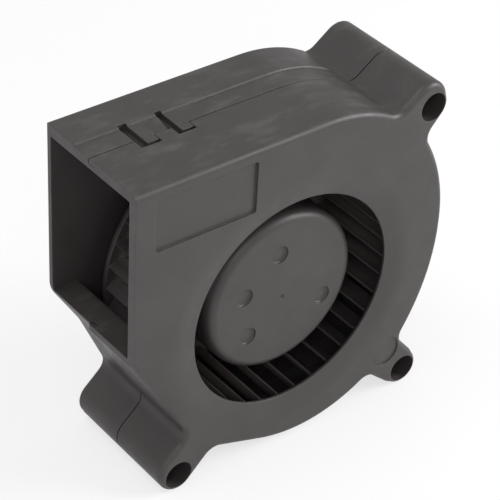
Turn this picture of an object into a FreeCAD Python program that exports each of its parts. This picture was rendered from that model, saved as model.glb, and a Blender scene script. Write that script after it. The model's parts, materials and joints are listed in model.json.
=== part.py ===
import FreeCAD, Part
import math
import os
from FreeCAD import Vector

# DC blower fan: snail housing in two shells, wheel, outer-rotor motor and two ball bearings.
# Everything is drawn lying on its rear face: the rotor axis is Z, the rear face is z = 0, the
# inlet faces +Z and the outlet faces -X. At the end it is stood up, so that the inlet faces -Y.

# Wheel
WHEEL_R = 19.9              # tip radius of the blades
BLADE_DEPTH = 3.0           # radial depth of the blade ring
BLADE_COUNT = 35
BLADE_THICK = 0.55
BLADE_LEAN = 4.0            # degrees that the tip leads the inner edge
BLADE_BOW = 0.45            # how far the blade bows back from its chord
BASE_PLATE = 0.8            # plate that carries the blades
BASE_GAP = 1.9              # rear floor to base plate
RIM_RING = 0.55             # radial width of the ring round the blade tips
RIM_DEPTH = 0.6
HUB_R = 12.2
HUB_WALL = 1.0
HUB_SINK = 2.8              # hub face below the front face
HUB_FACE_T = 1.05
HUB_CONE = 3.0              # width of the hub face's sloping border, with its rounding
HUB_CONE_DROP = 0.25
HUB_ROUND = 1.0
POCKET_R = 1.3              # balance pockets in the hub face
POCKET_DEEP = 0.3
POCKETS = ((-0.2, 6.3), (-6.0, 1.5), (-5.6, -5.7), (7.9, -4.0))
GATE_R = 0.4                # moulding gate mark near the middle
GATE_AT = (0.2, -1.0)
GATE_DEEP = 0.15

# Housing
DEPTH = 20.0                # rear face to front face
WALL = 1.3
TOP_WALL = 1.4
REAR_FLOOR = 1.1
FRONT_WALL = 1.4
CUTOFF_GAP = 1.1            # wheel to scroll wall where they are closest
WHEEL_GAP = 0.6             # wheel to the inside of the front wall
TOP_RISE = 7.65             # outer faces, measured out from the blade tips
RIGHT_RISE = 6.25
BOTTOM_RISE = 3.8
OUTLET_RISE = 6.65
TOP_BEND_X = 4.0            # where the flat top starts to turn down
TOP_BEND_EXTRA = 2.3        # radii of the scroll wall, over the blade tips
RIGHT_UPPER_EXTRA = 6.8
RIGHT_LOWER_EXTRA = 12.9
BOTTOM_EXTRA = 2.4
RIGHT_UPPER_Y = 3.75        # centres of the bends
RIGHT_LOWER_Y = 3.0
BOTTOM_BEND_X = 2.6
TOP_BEND_END = 60.0         # degrees; the bends meet each other inside the two right ears
RIGHT_BEND_START = 33.0
RIGHT_BEND_END = -35.0
BOTTOM_BEND_START = -57.0
BOTTOM_BEND_END = -108.3
CUTOFF_TURN = 204.8         # degrees, where the left wall is closest to the wheel
LIP_Y = 1.5                 # lower edge of the outlet
REAR_LEFT_LEAN = 122.7      # degrees, slope of the wall under the outlet
COVER_LEFT_Y = 0.6          # lower corner of the cover at the outlet
COVER_LEFT_LEAN = 120.1
CORNER_R = 4.0              # rear shell's lower corner at the outlet
KNEE_R = 10.0               # inside rounding of the wall below that corner
NOSE_X = 4.25               # cut-off nose, in from the outlet face
NOSE_TURN = 196.6           # degrees, where its underside ends inside the scroll wall
NOSE_SINK = 0.3
NOSE_R = 0.5
NECK_R = 2.2                # inside rounding where the ears meet the scroll
FRONT_ROUND = 0.9
REAR_ROUND = 0.5

# Inlet
INLET_R = 16.3
BELL_WIDE = 3.1             # bellmouth round the inlet hole
BELL_DROP = 0.64            # fall from the front face to the inlet edge
BELL_CROWN = 0.17           # fall at the middle of the bellmouth

# Ears with their through holes
HOLE_R = 2.15
EAR_END_R = 2.75
EAR_BOSS_R = 3.0
EAR_REACH = 9.0             # from the boss to the root of the ear
# inset: hole from the housing's side and from its top or foot; boss: its place from the hole;
# arm: direction of the root in degrees; spread: how much wider than the boss the root is
UPPER_RIGHT = {"inset": (4.08, 4.1), "boss": (-0.5, 0.82), "arm": 224.4, "spread": 1.3}
LOWER_RIGHT = {"inset": (4.42, 2.75), "boss": (-0.7, 0.7), "arm": 134.5, "spread": 0.7}
LOWER_LEFT = {"inset": (7.81, 2.75), "boss": (-0.13, 0.78), "arm": 42.5, "spread": 0.0}
FOOT_RISE = 4.5             # feet of the lower ears below the blade tips

# Parting of the two shells
PARTING_Z = 9.6
GROOVE = 0.2                # open line between the shells, outside
LAP = 1.4                   # the rear shell's inner lip stands this far into the cover
LAP_WALL = 0.6
LAP_GAP = 0.1
LAP_RUN = 4.0               # lap lines run on past the outlet face
BAND_RISE = 0.2             # raised band along the rear of the top
BAND_STOP = 3.2             # its front edge, behind the parting plane
BAND_BEVEL = 0.15

# Snap latch in the top: two fingers of the rear shell lie in pockets of the cover
LATCH_X = (6.85, 12.55)     # left ends of the two pockets, in from the outlet face
LATCH_SLOT = (1.3, 1.0)     # open slot on the left of each finger
FINGER_WIDE = 1.8
FINGER_REACH = 1.25         # past the parting plane
FINGER_SINK = 0.05
SLOT_BACK = 3.8             # slots start this far behind the parting plane
SLOT_DEEP = 0.95
POCKET_PAST = 0.6           # pocket beyond the finger's end
LATCH_PLAY = 0.05
RAMP_LONG = 2.6             # catch ramp between the fingers, back from the parting plane
RAMP_DEEP = 0.7

# Marks in the front face
PANEL_X = (3.05, 18.85)     # in from the outlet face
PANEL_Y = (1.7, 9.6)        # down from the top
PANEL_DEEP = 0.35
PANEL_R = 0.4
ROUND_MARK = (-3.83, 4.95)  # from the lower right hole
ROUND_MARK_R = 2.45
ROUND_MARK_DEEP = 0.2
FACET_SLOPE = 8.0           # degrees, fall of the facet at the lower left edge

# Lead exit: a channel in the rear of the floor
LEAD_ANGLE = -10.0
LEAD_WIDE = 3.0
LEAD_DEEP = 1.5
LEAD_ROOF = 0.5
LEAD_WELL = 3.0             # length of the well under the board's edge
LEAD_PAST = 0.3             # well past that edge

# Bearings, 3 x 7 x 3 mm
SHAFT_R = 1.5
BEARING_R = 3.5
BEARING_WIDE = 3.0
RACE_T = 0.6                # wall of each ring beside its groove
GROOVE_DEEP = 0.195
BALL_COUNT = 7
BALL_PLAY = 0.05
CAGE_T = 0.4
CAGE_BELOW = 0.3            # crown cage, from the ball centres to its open and closed side
CAGE_ABOVE = 0.9
SHIELD_T = 0.15
SHIELD_IN = 0.1             # shield below the bearing's face
SHIELD_PLAY = 0.12
SEAT_GAP = 0.01             # parts that are pressed together

# Shaft seat, from the rear, where a plug lies flush with the rear face
PLUG_T = 0.6
SHAFT_PLAY = 0.12           # shaft end to plug
SHAFT_BELOW = 0.3           # shaft below its clip
CLIP_T = 0.3
CLIP_WALL = 0.9
CLIP_GROOVE = 0.35
CLIP_OPEN = 1.4
WASHER_T = 0.3
TUBE_WALL = 1.0
TUBE_SHOULDER = 0.4
TUBE_PAST = 0.3             # tube past the front bearing
BOSS_WALL = 1.2
SPRING_H = 0.9
SPRING_T = 0.2
BUSH_WALL = 1.7
BUSH_LONG = 2.8
BUSH_FLANGE = 0.8
BUSH_FLANGE_T = 0.6

# Motor
YOKE_T = 0.75
YOKE_END = 0.6              # yoke's open edge above the board
MAGNET_T = 1.3
MAGNET_OVER = 0.5           # magnet past each end of the laminations
AIR_GAP = 0.35
SHOE_T = 0.9
SHOE_SPAN = 72.0
POLE_WIDE = 2.2
POLE_COUNT = 4
CORE_RING = 1.2
FORM_T = 0.45               # moulded insulator plates
FORM_SIDE = 0.25            # plate past the side of the pole
FORM_FLANGE = 0.35
COIL_T = 0.9
COIL_GAP = 0.05             # coil to the flanges on each side
COIL_ROUND = 0.5
COIL_TOP_GAP = 0.9          # front coil ends to the yoke
COIL_REAR_GAP = 1.2         # rear coil ends to the board
BOARD_RISE = 2.3            # floor to board
BOARD_T = 0.8
BOARD_RIM = 0.9             # board edge to the hub wall
BOARD_PLAY = 0.1
PIN_R = 0.3
PIN_TAIL = 0.5
PIN_DEEP = 0.8
FOOT_R = 0.75
FOOT_OUT = 0.35             # foot centre outside the core ring
FOOT_GAP = 0.3
HALL = (1.2, 1.6, 0.6)      # radial, along the board's edge, height
CHIP = (2.6, 3.6, 0.9)
CAPACITOR = (0.9, 1.6, 0.8)
RESISTOR = (0.7, 1.2, 0.4)
DIODE = (1.3, 2.2, 0.8)
HALL_TURN = 45.0            # degrees, places round the board
CHIP_TURN = 150.0
CAPACITOR_TURNS = (105.0, 195.0)
RESISTOR_TURNS = (60.0, 75.0, 225.0)
DIODE_TURN = 270.0

# Places that follow from the sizes above
TOP_Y = WHEEL_R + TOP_RISE
RIGHT_X = WHEEL_R + RIGHT_RISE
BOTTOM_Y = -(WHEEL_R + BOTTOM_RISE)
FOOT_Y = -(WHEEL_R + FOOT_RISE)
OUTLET_X = -(WHEEL_R + OUTLET_RISE)
FRONT_IN_Z = DEPTH - FRONT_WALL
COVER_Z0 = PARTING_Z + GROOVE
LAP_Z = PARTING_Z + LAP
BAND_Z1 = PARTING_Z - BAND_STOP
SLOT_Z0 = PARTING_Z - SLOT_BACK
BELL_R = INLET_R + BELL_WIDE
BASE_Z0 = REAR_FLOOR + BASE_GAP
BASE_Z1 = BASE_Z0 + BASE_PLATE
BLADE_Z1 = FRONT_IN_Z - WHEEL_GAP
BLADE_IN_R = WHEEL_R - BLADE_DEPTH
HUB_Z1 = DEPTH - HUB_SINK
HUB_IN_Z = HUB_Z1 - HUB_FACE_T
HUB_IN_R = HUB_R - HUB_WALL
YOKE_R = HUB_IN_R - SEAT_GAP
YOKE_IN_R = YOKE_R - YOKE_T
YOKE_IN_Z = HUB_IN_Z - YOKE_T
MAGNET_R = YOKE_IN_R - SEAT_GAP
MAGNET_IN_R = MAGNET_R - MAGNET_T
STATOR_R = MAGNET_IN_R - AIR_GAP
TUBE_R = BEARING_R + TUBE_WALL
CORE_RING_R = TUBE_R + CORE_RING
SHOE_IN_R = STATOR_R - SHOE_T
BOARD_Z0 = REAR_FLOOR + BOARD_RISE
BOARD_Z1 = BOARD_Z0 + BOARD_T
BOARD_R = HUB_IN_R - BOARD_RIM
PART_R = (BOARD_R + TUBE_R + BOSS_WALL) / 2
LEAD_START = BOARD_R + LEAD_PAST - LEAD_WELL
CORE_Z0 = BOARD_Z1 + COIL_REAR_GAP + COIL_T + FORM_T
CORE_Z1 = YOKE_IN_Z - COIL_TOP_GAP - COIL_T - FORM_T
TUBE_Z0 = PLUG_T
SHAFT_Z0 = TUBE_Z0 + SHAFT_PLAY
CLIP_Z0 = SHAFT_Z0 + SHAFT_BELOW
WASHER_Z0 = CLIP_Z0 + CLIP_T
REAR_BEARING_Z0 = WASHER_Z0 + WASHER_T
BUSH_Z0 = HUB_IN_Z - BUSH_LONG
FRONT_BEARING_Z0 = BUSH_Z0 - SPRING_H - BEARING_WIDE
BUSH_R = SHAFT_R + BUSH_WALL
BALL_PITCH_R = (SHAFT_R + BEARING_R) / 2
INNER_LAND_R = SHAFT_R + RACE_T
OUTER_LAND_R = BEARING_R - RACE_T
BALL_R = (OUTER_LAND_R - INNER_LAND_R) / 2 + GROOVE_DEEP
EARS = (UPPER_RIGHT, LOWER_RIGHT, LOWER_LEFT)
FAR = 100.0                 # past everything
OVER = 1.0                  # cutters run on by this much


def at_angle(radius, degrees, z=0.0):
    turn = math.radians(degrees)
    return Vector(radius * math.cos(turn), radius * math.sin(turn), z)


def cylinder(radius, z0, z1, x=0.0, y=0.0):
    return Part.makeCylinder(radius, z1 - z0, Vector(x, y, z0))


def ring(outer, inner, z0, z1):
    return cylinder(outer, z0, z1).cut(cylinder(inner, z0, z1))


def block(x0, x1, y0, y1, z0, z1):
    return Part.makeBox(x1 - x0, y1 - y0, z1 - z0, Vector(x0, y0, z0))


def prism(face, z0, z1):
    base = face.copy()
    base.translate(Vector(0, 0, z0))
    return base.extrude(Vector(0, 0, z1 - z0))


def turned(profile):
    """Solid of revolution about Z from its corners, given as (radius, z).

    A corner of four numbers ends an arc, which passes through the last two.
    """
    edges = []
    points = [Vector(p[0], 0, p[1]) for p in profile]
    for index, entry in enumerate(profile):
        start = points[index - 1]
        end = points[index]
        if len(entry) == 4:
            edges.append(Part.Arc(start, Vector(entry[2], 0, entry[3]), end).toShape())
        else:
            edges.append(Part.LineSegment(start, end).toShape())
    face = Part.Face(Part.Wire(edges))
    return face.revolve(Vector(0, 0, 0), Vector(0, 0, 1), 360)


def meeting(first, first_lean, second, second_lean):
    """Point where two lines in the plane meet, each given by a point and its slope in degrees."""
    a = at_angle(1, first_lean)
    b = at_angle(1, second_lean)
    gap = second - first
    along = (gap.x * b.y - gap.y * b.x) / (a.x * b.y - a.y * b.x)
    return first + a * along


def corner(point, radius=0.0):
    return {"at": Vector(point[0], point[1], 0), "radius": radius}


def bend(centre_x, centre_y, radius, start, end):
    """Round stretch of an outline about a centre, from one angle to another."""
    centre = Vector(centre_x, centre_y, 0)
    middle = (start + end) / 2
    return {"arc": [centre + at_angle(radius, turn) for turn in (start, middle, end)]}


def outline(stretches):
    """Closed face from corners and bends, joined by straight lines."""
    paths = []
    count = len(stretches)
    for index, part in enumerate(stretches):
        if "arc" in part:
            paths.append(part["arc"])
            continue
        here = part["at"]
        if part["radius"] == 0:
            paths.append([here])
            continue
        before = stretches[index - 1]
        after = stretches[(index + 1) % count]
        back = (before["arc"][2] if "arc" in before else before["at"]) - here
        ahead = (after["arc"][0] if "arc" in after else after["at"]) - here
        back.normalize()
        ahead.normalize()
        half = back.getAngle(ahead) / 2
        inward = back + ahead
        inward.normalize()
        reach = part["radius"] / math.tan(half)
        to_middle = part["radius"] / math.sin(half) - part["radius"]
        paths.append([here + back * reach, here + inward * to_middle, here + ahead * reach])
    edges = []
    for index, path in enumerate(paths):
        previous = paths[index - 1][-1]
        if previous.distanceToPoint(path[0]) > 1e-4:
            edges.append(Part.LineSegment(previous, path[0]).toShape())
        if len(path) == 3:
            edges.append(Part.Arc(path[0], path[1], path[2]).toShape())
    return Part.Face(Part.Wire(edges))


def scroll_outline(left_side, run=0.0):
    """Outer face of the scroll, clockwise from the outlet's upper corner."""
    top_r = WHEEL_R + TOP_BEND_EXTRA
    upper_r = WHEEL_R + RIGHT_UPPER_EXTRA
    lower_r = WHEEL_R + RIGHT_LOWER_EXTRA
    bottom_r = WHEEL_R + BOTTOM_EXTRA
    return outline([
        corner((OUTLET_X - run, TOP_Y)),
        bend(TOP_BEND_X, TOP_Y - top_r, top_r, 90, TOP_BEND_END),
        bend(RIGHT_X - upper_r, RIGHT_UPPER_Y, upper_r, RIGHT_BEND_START, 0),
        bend(RIGHT_X - lower_r, RIGHT_LOWER_Y, lower_r, 0, RIGHT_BEND_END),
        bend(BOTTOM_BEND_X, BOTTOM_Y + bottom_r, bottom_r, BOTTOM_BEND_START, BOTTOM_BEND_END),
    ] + left_side)


def bottom_end():
    bottom_r = WHEEL_R + BOTTOM_EXTRA
    return Vector(BOTTOM_BEND_X, BOTTOM_Y + bottom_r, 0) + at_angle(bottom_r, BOTTOM_BEND_END)


def rear_outline(run=0.0):
    """Rear shell's scroll; the outlet face can be moved out along the sloping wall."""
    left_point = at_angle(WHEEL_R + CUTOFF_GAP + WALL, CUTOFF_TURN)
    left_lean = CUTOFF_TURN - 90
    slope = at_angle(1, REAR_LEFT_LEAN)
    outlet_point = Vector(OUTLET_X, LIP_Y, 0) - slope * (run / slope.x)
    foot = meeting(bottom_end(), BOTTOM_BEND_END - 90, left_point, left_lean)
    knee = meeting(left_point, left_lean, outlet_point, REAR_LEFT_LEAN)
    return scroll_outline([
        corner(foot, NECK_R),
        corner(knee, KNEE_R),
        corner(outlet_point, CORNER_R),
    ], run)


def cover_outline():
    outlet_point = Vector(OUTLET_X, COVER_LEFT_Y, 0)
    foot = meeting(bottom_end(), BOTTOM_BEND_END - 90, outlet_point, COVER_LEFT_LEAN)
    return scroll_outline([
        corner(foot, NECK_R),
        corner(outlet_point),
    ])


def nose_root():
    return at_angle(WHEEL_R + CUTOFF_GAP + NOSE_SINK, NOSE_TURN)


def air_space(z0, z1):
    """The hollow of the scroll and the outlet duct, open past the outlet."""
    inner = rear_outline().makeOffset2D(-WALL)
    duct = block(OUTLET_X - WALL, 0, LIP_Y, TOP_Y - WALL, z0, z1)
    wedge = outline([
        corner((-FAR, LIP_Y)),
        corner((OUTLET_X + NOSE_X, LIP_Y), NOSE_R),
        corner(nose_root()),
        corner((-FAR, nose_root().y)),
    ])
    roof = block(-FAR, FAR, TOP_Y - TOP_WALL, FAR, z0, z1)
    return prism(inner, z0, z1).fuse(duct).cut(prism(wedge, z0, z1)).cut(roof)


def capsule(first, first_r, second, second_r):
    """Face round two circles and their outer tangents."""
    line = second - first
    lean = math.degrees(math.atan2(line.y, line.x))
    side = math.degrees(math.acos((first_r - second_r) / line.Length))
    near = [first + at_angle(first_r, lean + turn) for turn in (side, 180, -side)]
    far = [second + at_angle(second_r, lean + turn) for turn in (-side, 0, side)]
    edges = [
        Part.Arc(near[0], near[1], near[2]).toShape(),
        Part.LineSegment(near[2], far[0]).toShape(),
        Part.Arc(far[0], far[1], far[2]).toShape(),
        Part.LineSegment(far[2], near[0]).toShape(),
    ]
    return Part.Face(Part.Wire(edges))


def hole_centre(ear):
    inset_x, inset_y = ear["inset"]
    x = OUTLET_X + inset_x if ear is LOWER_LEFT else RIGHT_X - inset_x
    y = TOP_Y - inset_y if ear is UPPER_RIGHT else FOOT_Y + inset_y
    return Vector(x, y, 0)


def ear_column(ear, z0, z1):
    """One ear: a rounded end about the hole, an offset boss and an arm into the scroll."""
    hole = hole_centre(ear)
    boss = hole + Vector(ear["boss"][0], ear["boss"][1], 0)
    root = boss + at_angle(EAR_REACH, ear["arm"])
    root_r = EAR_BOSS_R + ear["spread"]
    to_boss = capsule(boss, EAR_BOSS_R, root, root_r)
    to_hole = capsule(hole, EAR_END_R, root, root_r)
    return prism(to_boss, z0, z1).fuse(prism(to_hole, z0, z1)).removeSplitter()


def shell_plan(face):
    """Scroll and ears in plan, with the necks between them rounded."""
    blank = prism(face, 0, 1).fuse([ear_column(ear, 0, 1) for ear in EARS]).removeSplitter()
    plan = [side for side in blank.Faces if side.BoundBox.ZMax < 1e-6][0]
    return plan.makeOffset2D(NECK_R).makeOffset2D(-NECK_R)


def rim_edges(solid, z):
    """Outer edges in one level plane, without the edge of the outlet face."""
    found = []
    for edge in solid.Edges:
        box = edge.BoundBox
        level = abs(box.ZMin - z) < 1e-6 and abs(box.ZMax - z) < 1e-6
        if level and box.XMax > OUTLET_X + 1e-3:
            found.append(edge)
    return found


def holes():
    return [cylinder(HOLE_R, -OVER, DEPTH + OVER, hole_centre(ear).x, hole_centre(ear).y)
            for ear in EARS]


def lap_face(inset):
    """Plan of the lap between the shells, run on past the outlet face."""
    return rear_outline(LAP_RUN).makeOffset2D(-inset)


def top_band():
    """Slightly raised band along the rear of the top, bevelled at its front edge."""
    skin = prism(rear_outline().makeOffset2D(BAND_RISE), 0, BAND_Z1)
    front = [edge for edge in skin.Edges
             if edge.BoundBox.ZMin > BAND_Z1 - 1e-6 and edge.BoundBox.YMin > 0]
    skin = skin.makeChamfer(BAND_BEVEL, front)
    upper_ear = hole_centre(UPPER_RIGHT)
    zone = block(OUTLET_X, upper_ear.x - EAR_BOSS_R, TOP_Y - WALL - EAR_BOSS_R, FAR,
                 0, BAND_Z1)
    return skin.common(zone)


def latch_ends(index):
    """Left end of the slot, left side and right side of one finger, along X."""
    left = OUTLET_X + LATCH_X[index]
    finger = left + LATCH_SLOT[index]
    return left, finger, finger + FINGER_WIDE


def lead_channel(width, roof):
    """Straight run under the floor from the motor to the outside, turned to its angle."""
    run = block(LEAD_START - roof, FAR, -width / 2, width / 2, -OVER, LEAD_DEEP + roof)
    run.rotate(Vector(0, 0, 0), Vector(0, 0, 1), LEAD_ANGLE)
    return run


def rear_frame():
    body = prism(shell_plan(rear_outline()), 0, PARTING_Z).fuse(top_band()).removeSplitter()
    body = body.makeFillet(REAR_ROUND, rim_edges(body, 0))
    body = body.cut(air_space(REAR_FLOOR, FAR))
    lip = prism(lap_face(WALL - LAP_WALL), PARTING_Z, LAP_Z).cut(air_space(REAR_FLOOR, FAR))
    outside = block(-FAR, OUTLET_X, -FAR, FAR, 0, FAR)
    body = body.fuse(lip.cut(outside))
    plan = prism(rear_outline(), 0, PARTING_Z)
    body = body.fuse(lead_channel(LEAD_WIDE + 2 * LEAD_ROOF, LEAD_ROOF).common(plan).cut(
        block(-FAR, FAR, -FAR, FAR, -OVER, REAR_FLOOR / 2)))
    body = body.fuse(cylinder(TUBE_R + BOSS_WALL, REAR_FLOOR / 2, BOARD_Z0))
    body = body.cut(cylinder(TUBE_R + SEAT_GAP, -OVER, FAR))
    body = body.cut(lead_channel(LEAD_WIDE, 0))
    well = block(LEAD_START, LEAD_START + LEAD_WELL, -LEAD_WIDE / 2, LEAD_WIDE / 2, 0, BOARD_Z0)
    well.rotate(Vector(0, 0, 0), Vector(0, 0, 1), LEAD_ANGLE)
    body = body.cut([well] + holes())
    return latch_on_rear(body)


def latch_on_rear(body):
    floor_y = TOP_Y - SLOT_DEEP
    for index in range(len(LATCH_X)):
        left, finger, right = latch_ends(index)
        body = body.cut(block(left, finger, floor_y, FAR, SLOT_Z0, LAP_Z + OVER))
        body = body.cut(block(left, right + LATCH_PLAY, TOP_Y - WALL + LAP_WALL - LAP_GAP, FAR,
                              PARTING_Z, FAR))
        body = body.fuse(block(finger, right, floor_y, TOP_Y - FINGER_SINK,
                               PARTING_Z - LAP_WALL, PARTING_Z + FINGER_REACH))
    ramp_x0 = latch_ends(0)[2] + LATCH_PLAY
    ramp_x1 = latch_ends(1)[0]
    profile = Part.makePolygon([
        Vector(ramp_x0, TOP_Y, PARTING_Z - RAMP_LONG),
        Vector(ramp_x0, TOP_Y - RAMP_DEEP, PARTING_Z),
        Vector(ramp_x0, FAR, PARTING_Z),
        Vector(ramp_x0, FAR, PARTING_Z - RAMP_LONG),
        Vector(ramp_x0, TOP_Y, PARTING_Z - RAMP_LONG),
    ])
    return body.cut(Part.Face(profile).extrude(Vector(ramp_x1 - ramp_x0, 0, 0)))


def bellmouth():
    """Inlet hole with its rounded funnel, as the solid that is cut away."""
    edge_z = DEPTH - BELL_DROP
    return turned([
        (0, FRONT_IN_Z - OVER),
        (INLET_R, FRONT_IN_Z - OVER),
        (INLET_R, edge_z),
        (BELL_R, DEPTH, (INLET_R + BELL_R) / 2, DEPTH - BELL_CROWN),
        (BELL_R, DEPTH + OVER),
        (0, DEPTH + OVER),
    ])


def facet_cut():
    """Sloped facet of the front face at the lower left, over the solid cut-off."""
    top = Vector(OUTLET_X + NOSE_X, 0, DEPTH)
    root = nose_root() + Vector(0, 0, DEPTH)
    crease = root - top
    lean = math.degrees(math.atan2(crease.y, crease.x))
    foot = meeting(top, lean, Vector(OUTLET_X, COVER_LEFT_Y, DEPTH), COVER_LEFT_LEAN)
    slab = block(-FAR, 0, -FAR, FAR, 0, DEPTH)
    slab.rotate(Vector(0, 0, 0), Vector(0, 1, 0), -FACET_SLOPE)
    slab.rotate(Vector(0, 0, 0), Vector(0, 0, 1), lean + 90)
    slab.translate(top)
    return slab.common(block(-FAR, 0, foot.y, 0, 0, DEPTH * 2))


def front_panel():
    x0 = OUTLET_X + PANEL_X[0]
    x1 = OUTLET_X + PANEL_X[1]
    y0 = TOP_Y - PANEL_Y[1]
    y1 = TOP_Y - PANEL_Y[0]
    plan = outline([
        corner((x0, y0), PANEL_R),
        corner((x0, y1), PANEL_R),
        corner((x1, y1), PANEL_R),
        corner((x1, y0), PANEL_R),
    ])
    return prism(plan, DEPTH - PANEL_DEEP, DEPTH + OVER)


def front_cover():
    body = prism(shell_plan(cover_outline()), COVER_Z0, DEPTH)
    body = body.makeFillet(FRONT_ROUND, rim_edges(body, DEPTH))
    body = body.cut(air_space(-FAR, FRONT_IN_Z))
    body = body.cut(prism(lap_face(WALL - LAP_WALL - LAP_GAP), 0, LAP_Z))
    body = body.cut([bellmouth(), front_panel(), facet_cut()] + holes())
    mark = hole_centre(LOWER_RIGHT) + Vector(ROUND_MARK[0], ROUND_MARK[1], 0)
    body = body.cut(cylinder(ROUND_MARK_R, DEPTH - ROUND_MARK_DEEP, DEPTH + OVER, mark.x, mark.y))
    for index in range(len(LATCH_X)):
        left, _, right = latch_ends(index)
        end = PARTING_Z + FINGER_REACH + POCKET_PAST
        body = body.cut(block(left, right + LATCH_PLAY, TOP_Y - SLOT_DEEP, FAR, 0, end))
    return body


def blade():
    """Plan of one blade, bowed back and leaning forward in the direction of turning."""
    tip_r = WHEEL_R - RIM_RING / 2
    root = Vector(BLADE_IN_R, 0, 0)
    tip = at_angle(tip_r, BLADE_LEAN)
    middle = (root + tip) * 0.5 - Vector(0, BLADE_BOW, 0)
    half = Vector(0, BLADE_THICK / 2, 0)
    edges = [
        Part.Arc(root - half, middle - half, tip - half).toShape(),
        Part.LineSegment(tip - half, tip + half).toShape(),
        Part.Arc(tip + half, middle + half, root + half).toShape(),
        Part.LineSegment(root + half, root - half).toShape(),
    ]
    return Part.Face(Part.Wire(edges))


def hub():
    round_r = HUB_R - HUB_ROUND
    cone_z = HUB_Z1 - HUB_CONE_DROP
    side_z = cone_z - HUB_ROUND
    mid_r = round_r + HUB_ROUND * math.sqrt(0.5)
    mid_z = side_z + HUB_ROUND * math.sqrt(0.5)
    cup = turned([
        (0, HUB_IN_Z),
        (HUB_IN_R, HUB_IN_Z),
        (HUB_IN_R, BASE_Z0),
        (HUB_R, BASE_Z0),
        (HUB_R, side_z),
        (round_r, cone_z, mid_r, mid_z),
        (HUB_R - HUB_CONE, HUB_Z1),
        (0, HUB_Z1),
    ])
    marks = [cylinder(POCKET_R, HUB_Z1 - POCKET_DEEP, DEPTH, x, y) for x, y in POCKETS]
    marks.append(cylinder(GATE_R, HUB_Z1 - GATE_DEEP, DEPTH, GATE_AT[0], GATE_AT[1]))
    return cup.cut(marks)


def impeller():
    base = ring(WHEEL_R, HUB_R - HUB_WALL / 2, BASE_Z0, BASE_Z1)
    rim = ring(WHEEL_R, WHEEL_R - RIM_RING, BLADE_Z1 - RIM_DEPTH, BLADE_Z1)
    blades = []
    for index in range(BLADE_COUNT):
        one = prism(blade(), BASE_Z1 - BASE_PLATE / 2, BLADE_Z1)
        one.rotate(Vector(0, 0, 0), Vector(0, 0, 1), 360 * index / BLADE_COUNT)
        blades.append(one)
    return base.fuse([rim, hub()] + blades)


def bearing_tube():
    rear_seat_z = REAR_BEARING_Z0 + BEARING_WIDE
    tube_z1 = FRONT_BEARING_Z0 + BEARING_WIDE + TUBE_PAST
    tube = cylinder(TUBE_R, TUBE_Z0, tube_z1)
    seat_r = BEARING_R + SEAT_GAP
    tube = tube.cut(cylinder(seat_r, TUBE_Z0, rear_seat_z))
    tube = tube.cut(cylinder(seat_r, FRONT_BEARING_Z0, tube_z1))
    return tube.cut(cylinder(BEARING_R - TUBE_SHOULDER, TUBE_Z0, tube_z1))


def bearing_groove(z):
    """Ball track of both rings, as a torus."""
    return Part.makeTorus(BALL_PITCH_R, BALL_R + BALL_PLAY, Vector(0, 0, z))


def bearing(z0, name):
    """All pieces of one ball bearing that starts at z0."""
    middle = z0 + BEARING_WIDE / 2
    z1 = z0 + BEARING_WIDE
    track = bearing_groove(middle)
    outer = ring(BEARING_R, OUTER_LAND_R, z0, z1).cut(track)
    inner = ring(INNER_LAND_R, SHAFT_R + SEAT_GAP, z0, z1).cut(track)
    shield_in = INNER_LAND_R + SHIELD_PLAY
    shield_out = OUTER_LAND_R - SEAT_GAP
    rear_shield = ring(shield_out, shield_in, z0 + SHIELD_IN, z0 + SHIELD_IN + SHIELD_T)
    front_shield = ring(shield_out, shield_in, z1 - SHIELD_IN - SHIELD_T, z1 - SHIELD_IN)
    cage = ring(BALL_PITCH_R + CAGE_T / 2, BALL_PITCH_R - CAGE_T / 2,
                middle - CAGE_BELOW, middle + CAGE_ABOVE)
    balls = []
    for index in range(BALL_COUNT):
        place = at_angle(BALL_PITCH_R, 360 * index / BALL_COUNT, middle)
        balls.append(Part.makeSphere(BALL_R, place))
        cage = cage.cut(Part.makeSphere(BALL_R + BALL_PLAY / 2, place))
    return {
        name + "_bearing_outer_ring": outer,
        name + "_bearing_inner_ring": inner,
        name + "_bearing_shields": Part.makeCompound([rear_shield, front_shield]),
        name + "_bearing_cage": cage,
        name + "_bearing_balls": Part.makeCompound(balls),
    }


def shaft():
    body = cylinder(SHAFT_R, SHAFT_Z0, HUB_IN_Z)
    neck = SHAFT_R - CLIP_GROOVE
    return body.cut(ring(SHAFT_R + OVER, neck, CLIP_Z0, CLIP_Z0 + CLIP_T))


def retaining_clip():
    neck = SHAFT_R - CLIP_GROOVE + SEAT_GAP
    clip = ring(SHAFT_R + CLIP_WALL, neck, CLIP_Z0, CLIP_Z0 + CLIP_T)
    return clip.cut(block(0, FAR, -CLIP_OPEN / 2, CLIP_OPEN / 2, 0, FAR))


def spacer_washer():
    return ring(INNER_LAND_R, SHAFT_R + SEAT_GAP, WASHER_Z0, WASHER_Z0 + WASHER_T)


def preload_spring():
    """Dished spring ring between the bush and the front bearing's inner ring."""
    foot_z = BUSH_Z0 - SPRING_H
    inner = SHAFT_R + SPRING_T
    return turned([
        (inner, foot_z),
        (inner + SPRING_T, foot_z),
        (BUSH_R, BUSH_Z0 - SPRING_T),
        (BUSH_R, BUSH_Z0),
        (BUSH_R - SPRING_T, BUSH_Z0),
        (inner, foot_z + SPRING_T),
    ])


def shaft_bushing():
    bore = SHAFT_R + SEAT_GAP
    return turned([
        (bore, BUSH_Z0),
        (BUSH_R, BUSH_Z0),
        (BUSH_R, YOKE_IN_Z - BUSH_FLANGE_T),
        (BUSH_R + BUSH_FLANGE, YOKE_IN_Z - BUSH_FLANGE_T),
        (BUSH_R + BUSH_FLANGE, YOKE_IN_Z),
        (BUSH_R, YOKE_IN_Z),
        (BUSH_R, HUB_IN_Z),
        (bore, HUB_IN_Z),
    ])


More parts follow.
